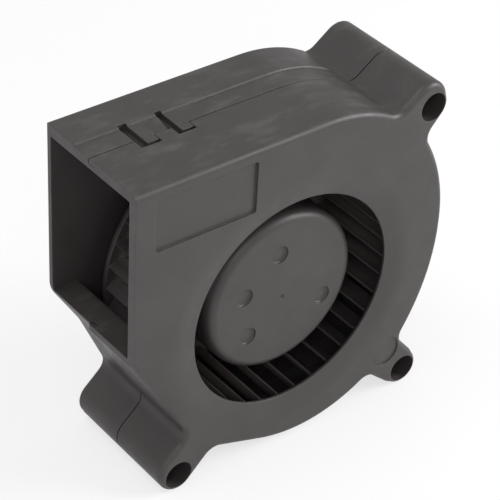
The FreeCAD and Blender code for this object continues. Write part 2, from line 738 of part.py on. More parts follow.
def rotor_yoke():
    return turned([
        (BUSH_R + SEAT_GAP, HUB_IN_Z),
        (BUSH_R + SEAT_GAP, YOKE_IN_Z),
        (YOKE_IN_R, YOKE_IN_Z),
        (YOKE_IN_R, BOARD_Z1 + YOKE_END),
        (YOKE_R, BOARD_Z1 + YOKE_END),
        (YOKE_R, HUB_IN_Z),
    ])


def sector(outer, inner, middle, span, z0, z1):
    """Piece of a ring about the axis, centred on one angle."""
    start = middle - span / 2
    end = middle + span / 2
    edges = [
        Part.Arc(at_angle(outer, start), at_angle(outer, middle), at_angle(outer, end)).toShape(),
        Part.LineSegment(at_angle(outer, end), at_angle(inner, end)).toShape(),
        Part.Arc(at_angle(inner, end), at_angle(inner, middle), at_angle(inner, start)).toShape(),
        Part.LineSegment(at_angle(inner, start), at_angle(outer, start)).toShape(),
    ]
    return prism(Part.Face(Part.Wire(edges)), z0, z1)


def pole_angles():
    return [360 * index / POLE_COUNT for index in range(POLE_COUNT)]


def spoke(angle, inner, outer, half_width, z0, z1):
    """Straight bar from one radius to another, turned to its angle."""
    bar = block(inner, outer, -half_width, half_width, z0, z1)
    bar.rotate(Vector(0, 0, 0), Vector(0, 0, 1), angle)
    return bar


def stator_core():
    core = ring(CORE_RING_R, TUBE_R + SEAT_GAP, CORE_Z0, CORE_Z1)
    for angle in pole_angles():
        pole = spoke(angle, CORE_RING_R - CORE_RING / 2, STATOR_R - SHOE_T / 2,
                     POLE_WIDE / 2, CORE_Z0, CORE_Z1)
        shoe = sector(STATOR_R, SHOE_IN_R, angle, SHOE_SPAN, CORE_Z0, CORE_Z1)
        core = core.fuse([pole, shoe])
    return core


def insulator(core_z, side):
    """Moulded plate on one end of the core, with flanges that hold the coils."""
    def level(a, b):
        ends = sorted((core_z + side * a, core_z + side * b))
        return ends[0], ends[1]
    plate = level(0, FORM_T)
    wall = level(0, FORM_T + COIL_T)
    body = ring(CORE_RING_R, TUBE_R + SEAT_GAP, plate[0], plate[1])
    body = body.fuse(ring(CORE_RING_R, CORE_RING_R - FORM_FLANGE, wall[0], wall[1]))
    for angle in pole_angles():
        bar = spoke(angle, CORE_RING_R - CORE_RING / 2, SHOE_IN_R, POLE_WIDE / 2 + FORM_SIDE,
                    plate[0], plate[1])
        flange = sector(SHOE_IN_R, SHOE_IN_R - FORM_FLANGE, angle, SHOE_SPAN, wall[0], wall[1])
        body = body.fuse([bar, flange])
    return body


def pin_places():
    radius = CORE_RING_R + FOOT_OUT
    return [at_angle(radius, angle + 180 / POLE_COUNT) for angle in pole_angles()]


def rear_insulator():
    body = insulator(CORE_Z0, -1)
    body = body.fuse(ring(TUBE_R + FORM_FLANGE * 2, TUBE_R + SEAT_GAP, BOARD_Z1, CORE_Z0))
    foot_z = BOARD_Z1 + FOOT_GAP
    for place in pin_places():
        body = body.fuse(cylinder(FOOT_R, foot_z, CORE_Z0, place.x, place.y))
    body = body.cut(cylinder(TUBE_R + SEAT_GAP, BOARD_Z1, CORE_Z0))
    holes_for_pins = [cylinder(PIN_R + SEAT_GAP, foot_z, foot_z + PIN_DEEP, place.x, place.y)
                      for place in pin_places()]
    return body.cut(holes_for_pins)


def terminal_pins():
    foot_z = BOARD_Z1 + FOOT_GAP
    return Part.makeCompound([
        cylinder(PIN_R, BOARD_Z0 - PIN_TAIL, foot_z + PIN_DEEP, place.x, place.y)
        for place in pin_places()])


def coil(angle):
    """Winding round one pole, with rounded corners."""
    half = POLE_WIDE / 2 + FORM_SIDE
    inner = CORE_RING_R + COIL_GAP
    flange_r = SHOE_IN_R - FORM_FLANGE - COIL_GAP
    outer = math.sqrt(flange_r ** 2 - (half + COIL_T) ** 2)
    z0 = CORE_Z0 - FORM_T
    z1 = CORE_Z1 + FORM_T
    body = block(inner, outer, -half - COIL_T, half + COIL_T, z0 - COIL_T, z1 + COIL_T)
    corners = [edge for edge in body.Edges if edge.BoundBox.XLength > (outer - inner) / 2]
    body = body.makeFillet(COIL_ROUND, corners)
    body = body.cut(block(inner - OVER, outer + OVER, -half, half, z0, z1))
    body.rotate(Vector(0, 0, 0), Vector(0, 0, 1), angle)
    return body


def circuit_board():
    board = ring(BOARD_R, TUBE_R + BOARD_PLAY, BOARD_Z0, BOARD_Z1)
    return board.cut([cylinder(PIN_R + SEAT_GAP, BOARD_Z0, BOARD_Z1, place.x, place.y)
                      for place in pin_places()])


def board_part(size, angle, above=False):
    """Small component on the board, its length along the board's edge."""
    radial, along, height = size
    z0 = BOARD_Z1 if above else BOARD_Z0 - height
    body = block(PART_R - radial / 2, PART_R + radial / 2, -along / 2, along / 2, z0, z0 + height)
    body.rotate(Vector(0, 0, 0), Vector(0, 0, 1), angle)
    return body


def rear_plug():
    return cylinder(TUBE_R, 0, PLUG_T)


def all_pieces():
    pieces = {
        "front_cover": front_cover(),
        "rear_frame": rear_frame(),
        "bearing_tube": bearing_tube(),
        "rear_plug": rear_plug(),
        "stator_core": stator_core(),
        "front_insulator": insulator(CORE_Z1, 1),
        "rear_insulator": rear_insulator(),
        "terminal_pins": terminal_pins(),
        "circuit_board": circuit_board(),
        "hall_sensor": board_part(HALL, HALL_TURN, True),
        "driver_chip": board_part(CHIP, CHIP_TURN),
        "capacitors": Part.makeCompound([board_part(CAPACITOR, turn) for turn in CAPACITOR_TURNS]),
        "resistors": Part.makeCompound([board_part(RESISTOR, turn) for turn in RESISTOR_TURNS]),
        "diode": board_part(DIODE, DIODE_TURN),
        "impeller": impeller(),
        "rotor_yoke": rotor_yoke(),
        "magnet_ring": ring(MAGNET_R, MAGNET_IN_R, CORE_Z0 - MAGNET_OVER, CORE_Z1 + MAGNET_OVER),
        "shaft": shaft(),
        "shaft_bushing": shaft_bushing(),
        "preload_spring": preload_spring(),
        "spacer_washer": spacer_washer(),
        "retaining_clip": retaining_clip(),
    }
    for index, angle in enumerate(pole_angles()):
        pieces["coil_" + str(index + 1)] = coil(angle)
    pieces.update(bearing(FRONT_BEARING_Z0, "front"))
    pieces.update(bearing(REAR_BEARING_Z0, "rear"))
    return pieces


os.makedirs("parts", exist_ok=True)
for node, shape in all_pieces().items():
    shape.rotate(Vector(0, 0, 0), Vector(1, 0, 0), 90)
    shape.exportStep("parts/" + node + ".step")
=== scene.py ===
import json
import math
import bmesh
import bpy
from mathutils import Matrix, Vector


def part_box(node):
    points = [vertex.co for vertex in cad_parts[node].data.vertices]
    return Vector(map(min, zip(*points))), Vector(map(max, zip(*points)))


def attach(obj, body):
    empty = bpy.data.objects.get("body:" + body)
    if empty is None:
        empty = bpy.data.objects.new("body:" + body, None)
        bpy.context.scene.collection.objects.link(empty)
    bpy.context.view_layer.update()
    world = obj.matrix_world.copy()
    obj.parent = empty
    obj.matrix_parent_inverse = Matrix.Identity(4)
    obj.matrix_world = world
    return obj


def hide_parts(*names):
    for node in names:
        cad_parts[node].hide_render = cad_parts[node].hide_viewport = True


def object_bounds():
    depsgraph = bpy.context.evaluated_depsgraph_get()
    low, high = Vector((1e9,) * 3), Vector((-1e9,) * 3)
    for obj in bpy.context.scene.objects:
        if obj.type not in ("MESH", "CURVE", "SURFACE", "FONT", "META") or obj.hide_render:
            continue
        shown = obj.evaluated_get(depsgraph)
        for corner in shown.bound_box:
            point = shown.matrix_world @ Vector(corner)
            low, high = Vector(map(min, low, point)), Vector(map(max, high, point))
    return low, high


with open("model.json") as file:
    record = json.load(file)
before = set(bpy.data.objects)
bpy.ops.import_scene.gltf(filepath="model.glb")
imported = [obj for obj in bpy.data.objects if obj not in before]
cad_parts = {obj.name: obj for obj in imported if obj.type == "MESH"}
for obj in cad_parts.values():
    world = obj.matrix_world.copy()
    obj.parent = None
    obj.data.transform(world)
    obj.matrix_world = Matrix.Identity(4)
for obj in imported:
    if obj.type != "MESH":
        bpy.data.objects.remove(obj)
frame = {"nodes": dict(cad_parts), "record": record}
# Blender's own start-up objects aren't part of the scene
for name in ("Cube", "Light", "Camera"):
    if name in bpy.data.objects:
        bpy.data.objects.remove(bpy.data.objects[name])
CAD_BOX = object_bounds()

# Bench sizes in millimetres: x to the right, y up and z from the rear face to the front
MM = 0.001
DEPTH = (CAD_BOX[1][1] - CAD_BOX[0][1]) / MM
WHEEL_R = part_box("impeller")[1].x / MM
WHEEL_REAR_Z = -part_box("impeller")[1].y / MM
YOKE_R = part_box("rotor_yoke")[1].x / MM
YOKE_FRONT_Z = -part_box("rotor_yoke")[0].y / MM
ROUND_STEPS = 280           # facets round the wheel and the inlet
MARK_STEPS = 48             # facets round a pocket or the gate mark
WELD = 1e-7                 # vertices nearer than this, in metres, are one

# Inlet of the front cover
INLET_R = 16.4
BELL_CONE = 1.6             # straight slope next to the inlet's edge
BELL_WIDE = 4.2             # slope and rounding together
BELL_DROP = 0.62            # fall from the front face to the inlet's edge
BELL_STEPS = 8              # facets of the rounding
LIP_REAR = 1.0              # rear of the lip, below the front face
LIP_R = 20.8                # how far the recess behind the lip reaches
COVER_IN = 1.4              # inside of the front wall, below the front face
CUT_PAST = 1.0              # how far a cutter goes past the face that it opens

# Wheel
HUB_R = 12.4
HUB_SINK = 2.85             # hub face below the front face
HUB_ROUND = 1.5
HUB_STEPS = 10              # facets of the hub's roundings
HUB_FOOT_ROUND = 0.3
PLATE_ROUND = 0.15
POCKETS = ((-0.75, 6.5), (-6.5, 1.7), (-5.6, -5.25), (7.2, -3.6))
POCKET_R = 1.4
POCKET_DEEP = 0.38
GATE_AT = (0.0, -0.8)
GATE_R = 0.42
GATE_DEEP = 0.15
MARK_ROUND = 0.9            # rounding of a mark's floor, as a share of its depth
BASE_PLATE = 0.8
BLADE_COUNT = 35
BLADE_DEPTH = 3.0
BLADE_THICK = 0.36
BLADE_LEAN = 4.0            # degrees that the tip leads the inner edge
BLADE_BOW = 0.45            # how far the blade bows back from its chord
BLADE_STEPS = 8
NOSE_STEPS = 6
BLADE_GAP = 0.6             # blades to the recess behind the lip
RIM_WIDE = 0.55
RIM_DEEP = 0.6
RIM_ROUND = 0.1
RIM_STEPS = 3

# Black plastic, with lengths in metres
PLASTIC_DARK = (0.0362, 0.0308, 0.0309)
PLASTIC_LIGHT = (0.0430, 0.0366, 0.0367)
PLASTIC_ROUGHNESS = 0.45
EDGE_ROUND = 0.00018
EDGE_BEND = (0.98, 0.85)    # cosine of the bend of an edge, from none to full wear and painted highlight
# paler edges: wear, and a painted highlight along them
EDGE_WEAR_AND_HIGHLIGHT_COLOUR = (0.095, 0.088, 0.086)

# Dust on top of the housing
DUST_COLOUR = (0.100, 0.095, 0.092)
DUST_FACING = (0.7, 0.95)   # how far a face looks up, from no dust to full dust
DUST_PATCHES = (0.5, 0.75)  # part of the noise in which a patch fades in
DUST_MOST = 0.55
DUST_FEATURES = 170.0       # patches per metre
DUST_STRETCH = (1.0, 2.6, 1.0)
DUST_TURN = 25.0            # degrees that the streaks are turned

# Dust and painted fill light between the blades, paler deeper in, in millimetres from where it starts to
# where it is full
BLADE_DUST_AND_FILL_COLOUR = (0.120, 0.104, 0.097)
DUST_AND_FILL_PAST_HUB = (-0.2, 0.5)
DUST_AND_FILL_FROM_TIPS = (2.2, 1.2)
DUST_AND_FILL_BELOW_FRONT = (0.5, 9.0)

# Motor
WIRE_PITCH = 0.00024        # metres from one turn of the winding to the next
SHEET_PITCH = 0.0005        # metres from one lamination to the next
WAVE_RADIANS = 20           # what Blender's wave texture runs through in a metre at scale 1
ENAMEL_SHADE = (0.12, 0.035, 0.012)
SEAM_SHADE = (0.06, 0.055, 0.05)

# Sockets of Blender's colour mix
MIX_SHARE = 0
MIX_BELOW = 6
MIX_ABOVE = 7
MIX_RESULT = 2

# Camera, solved from the photograph
CAMERA_AT = (-0.14364, -0.18396, 0.16823)
CAMERA_CLIP = 0.01
CAMERA_RIGHT = (0.79149, -0.60947, 0.04569)
CAMERA_UP = (0.33209, 0.49162, 0.80500)
FOCAL_PIXELS = 2037.37
FRAME_PIXELS = 500
SENSOR_MM = 36.0

# Light: a soft box at the front on the right, a weak fill beside the camera and one above on the left
LAMP_DISTANCE = 0.45        # metres, as the lamps' size
LAMP_SIZE = 0.24
KEY_DIRECTION = (0.75, -0.5, 0.45)
KEY_POWER = 1.62
FILL_DIRECTION = (-0.52, -0.66, 0.61)
FILL_POWER = 0.4
SIDE_DIRECTION = (-0.35, 0.1, 0.9)
SIDE_POWER = 0.5
WORLD_LEVEL = 0.52
WORLD_MIRRORED = 0.3        # share of plain white that reflections see in the backdrop
FLOOR_WHITE = 0.7           # share of plain white over the floor, the rest shows the shadow
FLOOR_MIRRORED = 0.3
FLOOR_REACH = 3.0           # metres from the middle to each side
FLOOR_COLOUR = (0.88, 0.88, 0.88, 1)
WHITE = (1, 1, 1, 1)


def new_material(name):
    """New material with its node tree and its shader."""
    material = bpy.data.materials.new(name)
    material.use_nodes = True
    tree = material.node_tree
    shader = tree.nodes["Principled BSDF"]
    return material, tree, shader


def noise(tree, scale, detail=2.0, roughness=0.5):
    """Noise texture in object space, with its scale in features per metre."""
    place = tree.nodes.new("ShaderNodeTexCoord")
    texture = tree.nodes.new("ShaderNodeTexNoise")
    texture.inputs["Scale"].default_value = scale
    texture.inputs["Detail"].default_value = detail
    texture.inputs["Roughness"].default_value = roughness
    tree.links.new(place.outputs["Object"], texture.inputs["Vector"])
    return texture.outputs["Fac"]


def ranged(tree, source, start, end, low, high):
    """Maps a value from one range to another and keeps it inside."""
    node = tree.nodes.new("ShaderNodeMapRange")
    node.inputs["From Min"].default_value = start
    node.inputs["From Max"].default_value = end
    node.inputs["To Min"].default_value = low
    node.inputs["To Max"].default_value = high
    tree.links.new(source, node.inputs["Value"])
    return node.outputs["Result"]


def spread(tree, source, low, high):
    """Maps the middle of a noise to a range."""
    return ranged(tree, source, 0.3, 0.7, low, high)


def maths(tree, operation, first, second):
    """One step of arithmetic between sockets or plain numbers."""
    node = tree.nodes.new("ShaderNodeMath")
    node.operation = operation
    for slot, value in zip(node.inputs, (first, second)):
        if isinstance(value, (int, float)):
            slot.default_value = value
        else:
            tree.links.new(value, slot)
    return node.outputs[0]


def mixed_colour(tree, source, dark, light):
    """Goes from the dark to the light colour over the middle of a noise."""
    ramp = tree.nodes.new("ShaderNodeValToRGB")
    ramp.color_ramp.elements[0].position = 0.3
    ramp.color_ramp.elements[0].color = (*dark, 1)
    ramp.color_ramp.elements[1].position = 0.7
    ramp.color_ramp.elements[1].color = (*light, 1)
    tree.links.new(source, ramp.inputs["Fac"])
    return ramp.outputs["Color"]


def bump(tree, height, distance, strength=1.0, below=None):
    """Relief of a height, laid over the relief below it."""
    node = tree.nodes.new("ShaderNodeBump")
    node.inputs["Distance"].default_value = distance
    node.inputs["Strength"].default_value = strength
    tree.links.new(height, node.inputs["Height"])
    if below is not None:
        tree.links.new(below, node.inputs["Normal"])
    return node.outputs["Normal"]


def colour_over(material, share, colour):
    """Lays a colour over the material's own where the share is high."""
    tree = material.node_tree
    base = tree.nodes["Principled BSDF"].inputs["Base Color"]
    below = base.links[0].from_socket
    mix = tree.nodes.new("ShaderNodeMix")
    mix.data_type = "RGBA"
    tree.links.new(share, mix.inputs[MIX_SHARE])
    tree.links.new(below, mix.inputs[MIX_BELOW])
    mix.inputs[MIX_ABOVE].default_value = (*colour, 1)
    tree.links.new(mix.outputs[MIX_RESULT], base)


def relief_over(material, height, distance):
    """Adds relief on top of the material's own."""
    tree = material.node_tree
    normal = tree.nodes["Principled BSDF"].inputs["Normal"]
    below = normal.links[0].from_socket
    tree.links.new(bump(tree, height, distance, below=below), normal)


def waves(tree, kind, pitch, distortion):
    """Waves in object space, as rings about the rotor axis or bands along it, with their pitch in metres."""
    place = tree.nodes.new("ShaderNodeTexCoord")
    texture = tree.nodes.new("ShaderNodeTexWave")
    texture.wave_type = kind
    texture.rings_direction = "Y"
    texture.bands_direction = "Y"
    texture.inputs["Scale"].default_value = 2 * math.pi / (WAVE_RADIANS * pitch)
    texture.inputs["Distortion"].default_value = distortion
    tree.links.new(place.outputs["Object"], texture.inputs["Vector"])
    return texture.outputs["Fac"]


def moulded_plastic(name, dark, light, roughness, grain=9000.0, grain_height=0.000012):
    """Spark-textured moulded plastic: fine grain, faint flow marks and an uneven sheen."""
    material, tree, shader = new_material(name)
    flow = noise(tree, 160.0, detail=3.0)
    sheen = noise(tree, 420.0)
    fine = noise(tree, grain, roughness=0.6)
    tree.links.new(mixed_colour(tree, flow, dark, light), shader.inputs["Base Color"])
    tree.links.new(spread(tree, sheen, roughness - 0.05, roughness + 0.05), shader.inputs["Roughness"])
    wave = bump(tree, flow, 0.00004, strength=0.35)
    tree.links.new(bump(tree, fine, grain_height, strength=0.8, below=wave), shader.inputs["Normal"])
    return material


def metal(name, dark, light, roughness, scale=2500.0, height=0.000004):
    """Bare metal with faint stains, a fine grain and an uneven polish."""
    material, tree, shader = new_material(name)
    shader.inputs["Metallic"].default_value = 1.0
    stain = noise(tree, scale / 8, detail=3.0)
    fine = noise(tree, scale)
    tree.links.new(mixed_colour(tree, stain, dark, light), shader.inputs["Base Color"])
    tree.links.new(spread(tree, fine, roughness - 0.06, roughness + 0.08), shader.inputs["Roughness"])
    tree.links.new(bump(tree, fine, height, strength=0.6), shader.inputs["Normal"])
    return material


def winding(name, dark, light):
    """Enamelled copper wire wound round the stator's poles, turn beside turn."""
    material = metal(name, dark, light, roughness=0.26, scale=6000.0)
    tree = material.node_tree
    turns = waves(tree, "RINGS", WIRE_PITCH, distortion=0.6)
    colour_over(material, ranged(tree, turns, 0.25, 0.0, 0.0, 0.8), ENAMEL_SHADE)
    relief_over(material, turns, distance=0.0001)
    return material


def stacked(name, dark, light):
    """Punched steel sheets stacked along the axis, with a dark seam between them."""
    material = metal(name, dark, light, roughness=0.42)
    tree = material.node_tree
    sheets = waves(tree, "BANDS", SHEET_PITCH, distortion=0.2)
    colour_over(material, ranged(tree, sheets, 0.12, 0.0, 0.0, 0.85), SEAM_SHADE)
    relief_over(material, ranged(tree, sheets, 0.0, 0.15, 0.0, 1.0), distance=0.00004)
    return material


def add_edge_wear_and_highlight(material, reach, colour):
    """Rounds the edges a little for the light and paints them paler: wear, and a painted highlight along the
    edges.
    """
    tree = material.node_tree
    edge = tree.nodes.new("ShaderNodeBevel")
    edge.samples = 4
    edge.inputs["Radius"].default_value = reach
    face = tree.nodes.new("ShaderNodeNewGeometry")
    turn = tree.nodes.new("ShaderNodeVectorMath")
    turn.operation = "DOT_PRODUCT"
    tree.links.new(edge.outputs["Normal"], turn.inputs[0])
    tree.links.new(face.outputs["Normal"], turn.inputs[1])
    bent = ranged(tree, turn.outputs["Value"], *EDGE_BEND, 0.0, 1.0)
    patchy = spread(tree, noise(tree, 900.0, detail=3.0, roughness=0.6), 0.1, 0.9)
    # paler colour on bent edges: wear, and a painted highlight
    colour_over(material, maths(tree, "MULTIPLY", bent, patchy), colour)
    for node in tree.nodes:
        if node.bl_idname == "ShaderNodeBump" and not node.inputs["Normal"].is_linked:
            tree.links.new(edge.outputs["Normal"], node.inputs["Normal"])


def add_dust(material, colour):
    """Thin dust in streaks and patches on the faces that look up."""
    tree = material.node_tree
    place = tree.nodes.new("ShaderNodeTexCoord")
    facing = tree.nodes.new("ShaderNodeSeparateXYZ")
    tree.links.new(place.outputs["Normal"], facing.inputs[0])
    up = ranged(tree, facing.outputs["Z"], *DUST_FACING, 0.0, 1.0)
    stretched = tree.nodes.new("ShaderNodeMapping")
    stretched.inputs["Scale"].default_value = DUST_STRETCH
    stretched.inputs["Rotation"].default_value = (0, 0, math.radians(DUST_TURN))
    tree.links.new(place.outputs["Object"], stretched.inputs["Vector"])
    texture = tree.nodes.new("ShaderNodeTexNoise")
    texture.inputs["Scale"].default_value = DUST_FEATURES
    texture.inputs["Detail"].default_value = 5.0
    texture.inputs["Roughness"].default_value = 0.65
    tree.links.new(stretched.outputs["Vector"], texture.inputs["Vector"])
    patches = ranged(tree, texture.outputs["Fac"], *DUST_PATCHES, 0.0, DUST_MOST)
    colour_over(material, maths(tree, "MULTIPLY", up, patches), colour)


def add_blade_dust_and_fill(material, colour):
    """Fine dust and painted fill light down between the blades, paler deeper in, clear of the hub, of the
    front edges and of the tips.
    """
    tree = material.node_tree
    front = DEPTH - LIP_REAR - BLADE_GAP
    past_hub = [(HUB_R + reach) * MM for reach in DUST_AND_FILL_PAST_HUB]
    from_tips = [(WHEEL_R - reach) * MM for reach in DUST_AND_FILL_FROM_TIPS]
    below_front = [-(front - reach) * MM for reach in DUST_AND_FILL_BELOW_FRONT]
    place = tree.nodes.new("ShaderNodeTexCoord")
    flat = tree.nodes.new("ShaderNodeVectorMath")
    flat.operation = "MULTIPLY"
    flat.inputs[1].default_value = (1, 0, 1)
    tree.links.new(place.outputs["Object"], flat.inputs[0])
    radius = tree.nodes.new("ShaderNodeVectorMath")
    radius.operation = "LENGTH"
    tree.links.new(flat.outputs["Vector"], radius.inputs[0])
    beyond = ranged(tree, radius.outputs["Value"], *past_hub, 0.0, 1.0)
    swept = ranged(tree, radius.outputs["Value"], *from_tips, 1.0, 0.0)
    depth = tree.nodes.new("ShaderNodeSeparateXYZ")
    tree.links.new(place.outputs["Object"], depth.inputs[0])
    inside = ranged(tree, depth.outputs["Y"], *below_front, 0.0, 1.0)
    patches = spread(tree, noise(tree, 500.0, detail=4.0, roughness=0.6), 0.75, 1.0)
    share = maths(tree, "MULTIPLY", maths(tree, "MULTIPLY", beyond, swept), inside)
    # paler colour deep between the blades: dust, and painted fill light in their shade
    colour_over(material, maths(tree, "MULTIPLY", share, patches), colour)


def make_black_plastics():
    """The housing's plastic with dust on top and painted highlights on its edges, and the wheel's with dust
    and painted fill light on its blades.
    """
    housing = moulded_plastic("black_plastic", PLASTIC_DARK, PLASTIC_LIGHT, PLASTIC_ROUGHNESS)
    add_edge_wear_and_highlight(housing, EDGE_ROUND, EDGE_WEAR_AND_HIGHLIGHT_COLOUR)
    add_dust(housing, DUST_COLOUR)
    wheel = moulded_plastic("wheel_plastic", PLASTIC_DARK, PLASTIC_LIGHT, PLASTIC_ROUGHNESS)
    add_edge_wear_and_highlight(wheel, EDGE_ROUND, EDGE_WEAR_AND_HIGHLIGHT_COLOUR)
    add_blade_dust_and_fill(wheel, BLADE_DUST_AND_FILL_COLOUR)
    return housing, wheel


def make_materials():
    """Every material by its name, which is a slot's name for all but the wheel's."""
    housing, wheel = make_black_plastics()
    return {
        "black_plastic": housing,
        "wheel_plastic": wheel,
        "brass": metal("brass", (0.62, 0.45, 0.19), (0.74, 0.56, 0.26), 0.28),
        "lamination": stacked("lamination", (0.30, 0.30, 0.31), (0.42, 0.42, 0.43)),
        "natural_nylon": moulded_plastic("natural_nylon", (0.62, 0.59, 0.50), (0.70, 0.67, 0.58), 0.42),
        "tinned_pin": metal("tinned_pin", (0.62, 0.62, 0.63), (0.74, 0.74, 0.75), 0.3),
        "board": moulded_plastic("board", (0.012, 0.075, 0.03), (0.018, 0.10, 0.04), 0.3, grain=3000.0),
        "chip": moulded_plastic("chip", (0.012, 0.012, 0.013), (0.02, 0.02, 0.021), 0.5),
        "ceramic": moulded_plastic("ceramic", (0.30, 0.21, 0.12), (0.38, 0.27, 0.16), 0.5),
        "copper": winding("copper", (0.60, 0.22, 0.08), (0.76, 0.32, 0.14)),
        "steel": metal("steel", (0.42, 0.42, 0.43), (0.54, 0.54, 0.56), 0.34),
        "magnet": moulded_plastic("magnet", (0.03, 0.029, 0.028), (0.042, 0.041, 0.04), 0.55),
        "bearing_steel": metal("bearing_steel", (0.60, 0.60, 0.62), (0.70, 0.70, 0.72), 0.16),
    }


def dress_nodes(materials):
    """Gives every node of the frame the material of its slot."""
    for part in frame["record"]["subparts"]:
        mesh = frame["nodes"][part["node"]].data
        mesh.materials.clear()
        mesh.materials.append(materials[part["material_slot"]])


def row(x, y, z):
    """Bench millimetres to the frame's metres."""
    return Vector((x, -z, y)) * MM


def rounded(corners, steps=5):
    """Corners as (x, y, radius), with an arc put in at each one that has a radius."""
    points = []
    for index, (x, y, radius) in enumerate(corners):
        here = Vector((x, y))
        if radius == 0:
            points.append((x, y))
            continue
        before = corners[index - 1]
        after = corners[(index + 1) % len(corners)]
        back = (Vector(before[:2]) - here).normalized()
        ahead = (Vector(after[:2]) - here).normalized()
        half = back.angle(ahead) / 2
        centre = here + (back + ahead).normalized() * (radius / math.sin(half))
        start = here + back * (radius / math.tan(half)) - centre
        end = here + ahead * (radius / math.tan(half)) - centre
        for step in range(steps + 1):
            share = step / steps
            way = start.slerp(end, share) * radius
            points.append(tuple(centre + way))
    return points


def lathe(builder, profile, steps=ROUND_STEPS):
    """Solid turned about the rotor axis from points (radius, z), with both ends on the axis or neither."""
    rings = []
    turns = [2 * math.pi * step / steps for step in range(steps)]
    for radius, z in profile:
        if radius == 0:
            rings.append([builder.verts.new(row(0, 0, z))] * steps)
            continue
        points = [row(radius * math.cos(turn), radius * math.sin(turn), z) for turn in turns]
        rings.append([builder.verts.new(point) for point in points])
    pairs = list(zip(rings, rings[1:]))
    if profile[0][0] != 0:
        pairs.append((rings[-1], rings[0]))
    for first, second in pairs:
        for index in range(steps):
            after = (index + 1) % steps
            corners = (first[index], first[after], second[after], second[index])
            unique = list(dict.fromkeys(corners))
            if len(unique) > 2:
                builder.faces.new(unique)


def prism(builder, plan, z0, z1):
    """Straight solid on a closed plan."""
    low = [builder.verts.new(row(x, y, z0)) for x, y in plan]
    high = [builder.verts.new(row(x, y, z1)) for x, y in plan]
    builder.faces.new(low)
    builder.faces.new(high)
    for index in range(len(plan)):
        after = (index + 1) % len(plan)
        builder.faces.new((low[index], low[after], high[after], high[index]))


def made_object(name, builder):
    """Object from a finished mesh builder, with its faces turned outwards."""
    bmesh.ops.recalc_face_normals(builder, faces=builder.faces)
    mesh = bpy.data.meshes.new(name)
    builder.to_mesh(mesh)
    builder.free()
    made = bpy.data.objects.new(name, mesh)
    bpy.context.scene.collection.objects.link(made)
    return made


def combine(target, other, operation):
    """Joins or cuts the target with another object, which is used up."""
    modifier = target.modifiers.new(operation, "BOOLEAN")
    modifier.object = other
    modifier.operation = operation
    modifier.solver = "EXACT"
    graph = bpy.context.evaluated_depsgraph_get()
    mesh = bpy.data.meshes.new_from_object(target.evaluated_get(graph))
    target.modifiers.clear()
    target.data = mesh
    bpy.data.objects.remove(other)


def soften(piece, sharp=30.0):
    """Smooth shading that keeps flat faces flat and edges above the angle sharp."""
    mesh = piece.data
    builder = bmesh.new()
    builder.from_mesh(mesh)
    bmesh.ops.remove_doubles(builder, verts=builder.verts, dist=WELD)
    for face in builder.faces:
        face.smooth = True
    for edge in builder.edges:
        edge.smooth = edge.is_manifold and edge.calc_face_angle(math.pi) < math.radians(sharp)
    builder.to_mesh(mesh)
    builder.free()
    weighted = piece.modifiers.new("weighted", "WEIGHTED_NORMAL")
    weighted.keep_sharp = True
    weighted.weight = 100


def stand_in(piece, node, material, body):
    """Dresses a piece and lets it stand for a node of the frame."""
    piece.data.materials.clear()
    piece.data.materials.append(material)
    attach(piece, body)
    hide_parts(node)


def blade_plan():
    """One blade: a bowed plate with a rounded inner edge, leaning in the direction of turning."""
    root = Vector((WHEEL_R - BLADE_DEPTH, 0))
    turn = math.radians(BLADE_LEAN)
    tip_r = WHEEL_R - RIM_WIDE / 2
    tip = Vector((tip_r * math.cos(turn), tip_r * math.sin(turn)))
    bend = (root + tip) / 2 - Vector((0, BLADE_BOW)) * 2
    line = []
    for step in range(BLADE_STEPS + 1):
        share = step / BLADE_STEPS
        line.append(root * (1 - share) ** 2 + bend * 2 * share * (1 - share) + tip * share ** 2)
    upper = []
    lower = []
    for index, point in enumerate(line):
        along = (line[min(index + 1, BLADE_STEPS)] - line[max(index - 1, 0)]).normalized()
        side = Vector((-along.y, along.x)) * BLADE_THICK / 2
        upper.append(point + side)
        lower.append(point - side)
    along = (line[1] - line[0]).normalized()
    side = Vector((-along.y, along.x))
    nose = []
    for step in range(1, NOSE_STEPS):
        turn = math.pi * step / NOSE_STEPS
        nose.append(line[0] + (side * math.cos(turn) - along * math.sin(turn)) * BLADE_THICK / 2)
    return [tuple(point) for point in upper[::-1] + nose + lower]


def turned_plan(plan, degrees):
    """The plan turned about the rotor axis."""
    cosine = math.cos(math.radians(degrees))
    sine = math.sin(math.radians(degrees))
    return [(x * cosine - y * sine, x * sine + y * cosine) for x, y in plan]


def hub_and_plate(face_z, plate_z):
    """Hub cup and base plate in one, open at the rear for the yoke."""
    cup = [
        (0, face_z, 0),
        (HUB_R, face_z, HUB_ROUND),
        (HUB_R, plate_z, HUB_FOOT_ROUND),
        (WHEEL_R, plate_z, PLATE_ROUND),
        (WHEEL_R, WHEEL_REAR_Z, PLATE_ROUND),
        (YOKE_R, WHEEL_REAR_Z, 0),
        (YOKE_R, YOKE_FRONT_Z, 0),
        (0, YOKE_FRONT_Z, 0),
    ]
    builder = bmesh.new()
    lathe(builder, rounded(cup, HUB_STEPS))
    return made_object("blower_wheel", builder)


def blade_ring(rear_z, front_z):
    """All the blades, apart from each other."""
    plan = blade_plan()
    builder = bmesh.new()
    for index in range(BLADE_COUNT):
        prism(builder, turned_plan(plan, 360 * index / BLADE_COUNT), rear_z, front_z)
    return made_object("blades", builder)


def rim_ring(front_z):
    """Ring round the front ends of the blades' tips."""
    inner = WHEEL_R - RIM_WIDE
    rim = [
        (inner, front_z - RIM_DEEP, RIM_ROUND),
        (WHEEL_R, front_z - RIM_DEEP, RIM_ROUND),
        (WHEEL_R, front_z, RIM_ROUND),
        (inner, front_z, RIM_ROUND),
    ]
    builder = bmesh.new()
    lathe(builder, rounded(rim, RIM_STEPS))
    return made_object("rim", builder)


